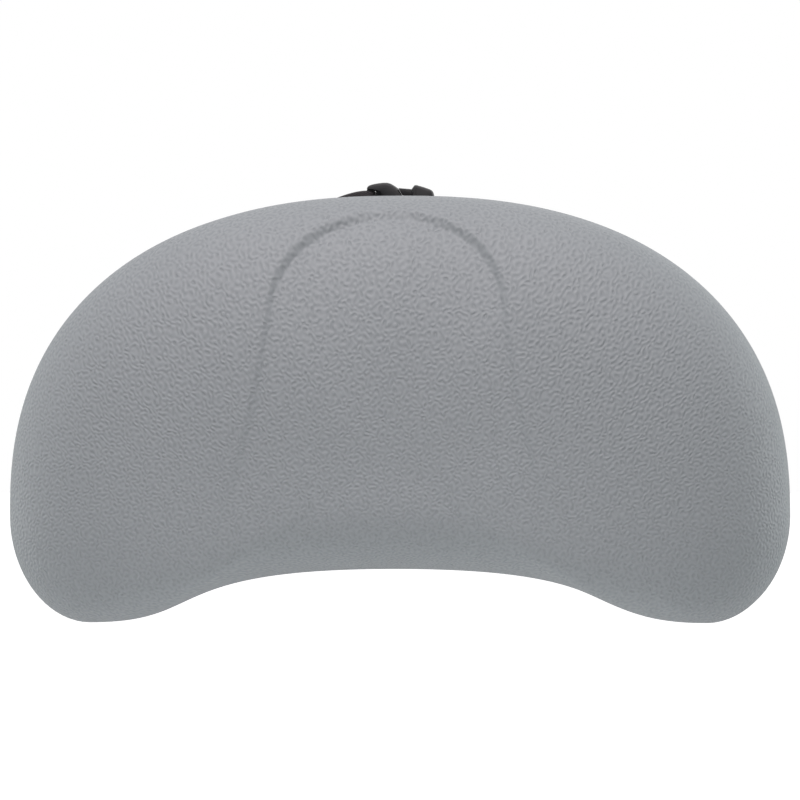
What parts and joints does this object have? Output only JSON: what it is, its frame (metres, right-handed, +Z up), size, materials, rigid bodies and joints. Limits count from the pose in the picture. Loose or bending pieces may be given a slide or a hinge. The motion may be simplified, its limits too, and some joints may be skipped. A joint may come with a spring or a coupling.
{
  "type": "bath pillow",
  "caption": "Kidney-shaped moulded foam bath pillow with a pebbled skin, arched head recess, suction cups and a buckled webbing belt behind its top edge.",
  "frame": {"origin": "on the plane of the four cup rims, which is the bath's wall, midway between the cups", "axes": "+X to the right seen from the front, +Y out of the back into the wall, +Z up; the face looks along -Y"},
  "size_m": [0.4, 0.1058, 0.2239],
  "materials": {
    "foam_skin": "pebbled integral PU skin, matte grey",
    "insert_plastic": "moulded PP, dark grey",
    "cup_pvc": "soft moulded PVC, translucent grey",
    "webbing": "woven PP webbing, black",
    "buckle_plastic": "moulded acetal, fine spark finish, black",
    "pin_steel": "stainless steel"
  },
  "bodies": {
    "pillow": {"pillow_foam": "foam_skin", "cup_socket_upper_left": "insert_plastic", "cup_socket_upper_right": "insert_plastic", "cup_socket_lower_left": "insert_plastic", "cup_socket_lower_right": "insert_plastic", "anchor_insert_left": "insert_plastic", "strap_anchor_left": "buckle_plastic", "anchor_pin_left": "pin_steel", "anchor_screw_left_outer": "pin_steel", "anchor_screw_left_inner": "pin_steel", "anchor_insert_right": "insert_plastic", "strap_anchor_right": "buckle_plastic", "anchor_pin_right": "pin_steel", "anchor_screw_right_outer": "pin_steel", "anchor_screw_right_inner": "pin_steel", "strap_left": "webbing", "strap_right": "webbing", "buckle_socket": "buckle_plastic", "buckle_plug": "buckle_plastic"},
    "prong_upper": {"buckle_prong_upper": "buckle_plastic"},
    "prong_lower": {"buckle_prong_lower": "buckle_plastic"},
    "cup_upper_left": {"suction_cup_upper_left": "cup_pvc"},
    "cup_upper_right": {"suction_cup_upper_right": "cup_pvc"},
    "cup_lower_left": {"suction_cup_lower_left": "cup_pvc"},
    "cup_lower_right": {"suction_cup_lower_right": "cup_pvc"}
  },
  "joints": [
    {"name": "prong_upper_pinch", "type": "hinge", "parent": "pillow", "child": "prong_upper", "pos_m": [0.00833, -0.008, 0.10281], "axis": [0, -1, 0], "range_deg": [0, 12], "stiffness_Nm_per_rad": 0.4},
    {"name": "prong_lower_pinch", "type": "hinge", "parent": "pillow", "child": "prong_lower", "pos_m": [0.00759, -0.008, 0.09405], "axis": [0, 1, 0], "range_deg": [0, 12], "stiffness_Nm_per_rad": 0.4},
    {"name": "cup_upper_left_turn", "type": "hinge", "parent": "pillow", "child": "cup_upper_left", "pos_m": [-0.07, -0.011, 0.035], "axis": [0, 1, 0], "continuous": true},
    {"name": "cup_upper_right_turn", "type": "hinge", "parent": "pillow", "child": "cup_upper_right", "pos_m": [0.07, -0.011, 0.035], "axis": [0, 1, 0], "continuous": true},
    {"name": "cup_lower_left_turn", "type": "hinge", "parent": "pillow", "child": "cup_lower_left", "pos_m": [-0.115, -0.011, -0.035], "axis": [0, 1, 0], "continuous": true},
    {"name": "cup_lower_right_turn", "type": "hinge", "parent": "pillow", "child": "cup_lower_right", "pos_m": [0.115, -0.011, -0.035], "axis": [0, 1, 0], "continuous": true}
  ]
}
